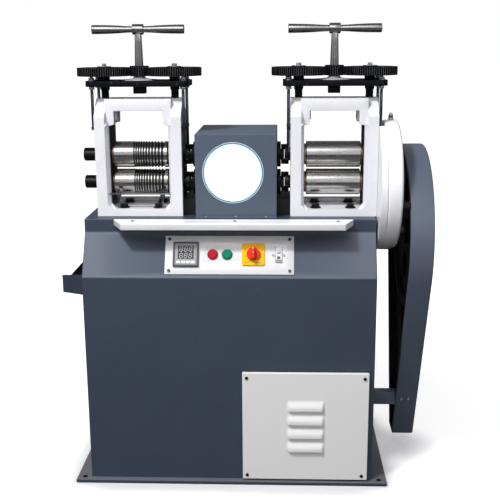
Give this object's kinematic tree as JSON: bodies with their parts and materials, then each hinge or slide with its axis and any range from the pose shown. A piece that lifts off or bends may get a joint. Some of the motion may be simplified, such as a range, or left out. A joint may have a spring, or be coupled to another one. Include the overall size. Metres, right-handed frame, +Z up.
{
  "type": "jewellers rolling mill",
  "caption": "Motor driven double head rolling mill on a floor cabinet, one head with grooved rolls and one with plain rolls, each with a T handle that sets the roll gap.",
  "frame": {"origin": "under the middle of the base plate, on the floor", "axes": "+Z up, +X to the machine's right as seen from the front, the front faces -Y"},
  "size_m": [1.0508, 0.525, 1.3105],
  "materials": {
    "slate_paint": "fine textured powder coat",
    "white_paint": "satin paint",
    "cover_paint": "satin powder coat",
    "black_steel": "black oxide",
    "bright_steel": "turned",
    "polished_steel": "ground and polished",
    "dark_cast": "machined casting, oiled",
    "motor_paint": "satin paint",
    "black_rubber": "matte",
    "black_plastic": "matte",
    "red_plastic": "glossy",
    "green_plastic": "glossy",
    "yellow_plastic": "matte",
    "white_plastic": "matte"
  },
  "bodies": {
    "frame": {"base_plate": "slate_paint", "cabinet_shell": "slate_paint", "access_cover": "cover_paint", "work_rest": "white_paint", "side_tray": "slate_paint", "motor": "motor_paint", "motor_base": "dark_cast", "control_panel": "white_paint", "digital_meter": "black_plastic", "switch_plate": "yellow_plastic", "breaker_body": "black_plastic", "left_housing": "white_paint", "left_inner_bottom_chock": "dark_cast", "left_outer_bottom_chock": "dark_cast", "left_guide_bar": "bright_steel", "right_housing": "white_paint", "right_inner_bottom_chock": "dark_cast", "right_outer_bottom_chock": "dark_cast", "gearbox_stand": "dark_cast", "gearbox_cover": "slate_paint", "reducer_casing": "white_paint", "filler_plug": "bright_steel", "drive_belt": "black_rubber", "belt_guard": "slate_paint"},
    "stop_button": {"red_button": "red_plastic"},
    "start_button": {"green_button": "green_plastic"},
    "main_switch": {"switch_knob": "red_plastic"},
    "breaker_toggle": {"breaker_lever": "white_plastic"},
    "motor_drive": {"motor_pulley": "dark_cast"},
    "pulley_drive": {"pinion_shaft": "bright_steel", "driven_pulley": "dark_cast"},
    "lower_line": {"reducer_gear": "bright_steel", "right_lower_roll": "polished_steel", "left_lower_roll": "polished_steel", "lower_gear_shaft": "bright_steel", "left_lower_coupling": "black_steel", "right_lower_coupling": "black_steel"},
    "upper_line": {"upper_gear_shaft": "bright_steel", "left_upper_coupling": "black_steel", "right_upper_coupling": "black_steel"},
    "left_bridge": {"left_bridge_plate": "black_steel", "left_inner_top_chock": "dark_cast", "left_outer_top_chock": "dark_cast"},
    "left_handle": {"left_handle_stem": "bright_steel", "left_handle_bar": "bright_steel"},
    "left_inner_screwdown": {"left_inner_gear": "black_steel", "left_inner_screw": "black_steel"},
    "left_outer_screwdown": {"left_outer_gear": "black_steel", "left_outer_screw": "black_steel"},
    "left_top_roll": {"left_upper_roll": "polished_steel"},
    "right_bridge": {"right_bridge_plate": "black_steel", "right_inner_top_chock": "dark_cast", "right_outer_top_chock": "dark_cast"},
    "right_handle": {"right_handle_stem": "bright_steel", "right_handle_bar": "bright_steel"},
    "right_inner_screwdown": {"right_inner_gear": "black_steel", "right_inner_screw": "black_steel"},
    "right_outer_screwdown": {"right_outer_gear": "black_steel", "right_outer_screw": "black_steel"},
    "right_top_roll": {"right_upper_roll": "polished_steel"}
  },
  "joints": [
    {"name": "red_button_press", "type": "slide", "parent": "frame", "child": "stop_button", "axis": [0, 0.8696, -0.4938], "range_m": [0, 0.004], "stiffness_N_per_m": 500},
    {"name": "green_button_press", "type": "slide", "parent": "frame", "child": "start_button", "axis": [0, 0.8696, -0.4938], "range_m": [0, 0.004], "stiffness_N_per_m": 500},
    {"name": "main_switch_turn", "type": "hinge", "parent": "frame", "child": "main_switch", "pos_m": [0.0683, -0.18929, 0.68076], "axis": [0, 0.8696, -0.4938], "range_deg": [0, 90]},
    {"name": "breaker_lever_tilt", "type": "hinge", "parent": "frame", "child": "breaker_toggle", "pos_m": [0.1392, -0.18582, 0.67879], "axis": [1, 0, 0], "range_deg": [0, 70]},
    {"name": "driven_pulley_spin", "type": "hinge", "parent": "frame", "child": "pulley_drive", "pos_m": [0.53, 0.02231, 0.70413], "axis": [1, 0, 0], "continuous": true},
    {"name": "motor_pulley_spin", "type": "hinge", "parent": "frame", "child": "motor_drive", "pos_m": [0.53, 0.035, 0.16], "axis": [1, 0, 0], "continuous": true},
    {"name": "lower_rolls_spin", "type": "hinge", "parent": "frame", "child": "lower_line", "pos_m": [0.018, -0.044, 0.865], "axis": [1, 0, 0], "continuous": true},
    {"name": "upper_shaft_spin", "type": "hinge", "parent": "frame", "child": "upper_line", "pos_m": [0.018, -0.044, 0.945], "axis": [1, 0, 0], "continuous": true},
    {"name": "left_bridge_lift", "type": "slide", "parent": "frame", "child": "left_bridge", "axis": [0, 0, 1], "range_m": [-0.00434, 0.00567]},
    {"name": "left_handle_turn", "type": "hinge", "parent": "left_bridge", "child": "left_handle", "pos_m": [-0.258, -0.044, 1.2], "axis": [0, 0, 1], "range_deg": [-1224, 936]},
    {"name": "left_inner_screw_turn", "type": "hinge", "parent": "left_bridge", "child": "left_inner_screwdown", "pos_m": [-0.158, -0.044, 1.2], "axis": [0, 0, 1], "range_deg": [-312.2, 408.2]},
    {"name": "left_outer_screw_turn", "type": "hinge", "parent": "left_bridge", "child": "left_outer_screwdown", "pos_m": [-0.358, -0.044, 1.2], "axis": [0, 0, 1], "range_deg": [-312.2, 408.2]},
    {"name": "left_top_roll_spin", "type": "hinge", "parent": "left_bridge", "child": "left_top_roll", "pos_m": [-0.258, -0.044, 0.945], "axis": [1, 0, 0], "continuous": true},
    {"name": "right_bridge_lift", "type": "slide", "parent": "frame", "child": "right_bridge", "axis": [0, 0, 1], "range_m": [-0.00434, 0.00567]},
    {"name": "right_handle_turn", "type": "hinge", "parent": "right_bridge", "child": "right_handle", "pos_m": [0.294, -0.044, 1.2], "axis": [0, 0, 1], "range_deg": [-1224, 936]},
    {"name": "right_inner_screw_turn", "type": "hinge", "parent": "right_bridge", "child": "right_inner_screwdown", "pos_m": [0.194, -0.044, 1.2], "axis": [0, 0, 1], "range_deg": [-312.2, 408.2]},
    {"name": "right_outer_screw_turn", "type": "hinge", "parent": "right_bridge", "child": "right_outer_screwdown", "pos_m": [0.394, -0.044, 1.2], "axis": [0, 0, 1], "range_deg": [-312.2, 408.2]},
    {"name": "right_top_roll_spin", "type": "hinge", "parent": "right_bridge", "child": "right_top_roll", "pos_m": [0.294, -0.044, 0.945], "axis": [1, 0, 0], "continuous": true}
  ],
  "couplings": [
    {"joint": "motor_pulley_spin", "follows": "driven_pulley_spin", "ratio": 4.1818},
    {"joint": "lower_rolls_spin", "follows": "driven_pulley_spin", "ratio": -0.31818},
    {"joint": "upper_shaft_spin", "follows": "driven_pulley_spin", "ratio": 0.31818},
    {"joint": "left_top_roll_spin", "follows": "driven_pulley_spin", "ratio": 0.31818},
    {"joint": "right_top_roll_spin", "follows": "driven_pulley_spin", "ratio": 0.31818},
    {"joint": "left_bridge_lift", "follows": "left_handle_turn", "m_per_rad": -0.00026526},
    {"joint": "left_inner_screw_turn", "follows": "left_handle_turn", "ratio": -0.33333},
    {"joint": "left_outer_screw_turn", "follows": "left_handle_turn", "ratio": -0.33333},
    {"joint": "right_bridge_lift", "follows": "right_handle_turn", "m_per_rad": -0.00026526},
    {"joint": "right_inner_screw_turn", "follows": "right_handle_turn", "ratio": -0.33333},
    {"joint": "right_outer_screw_turn", "follows": "right_handle_turn", "ratio": -0.33333}
  ]
}
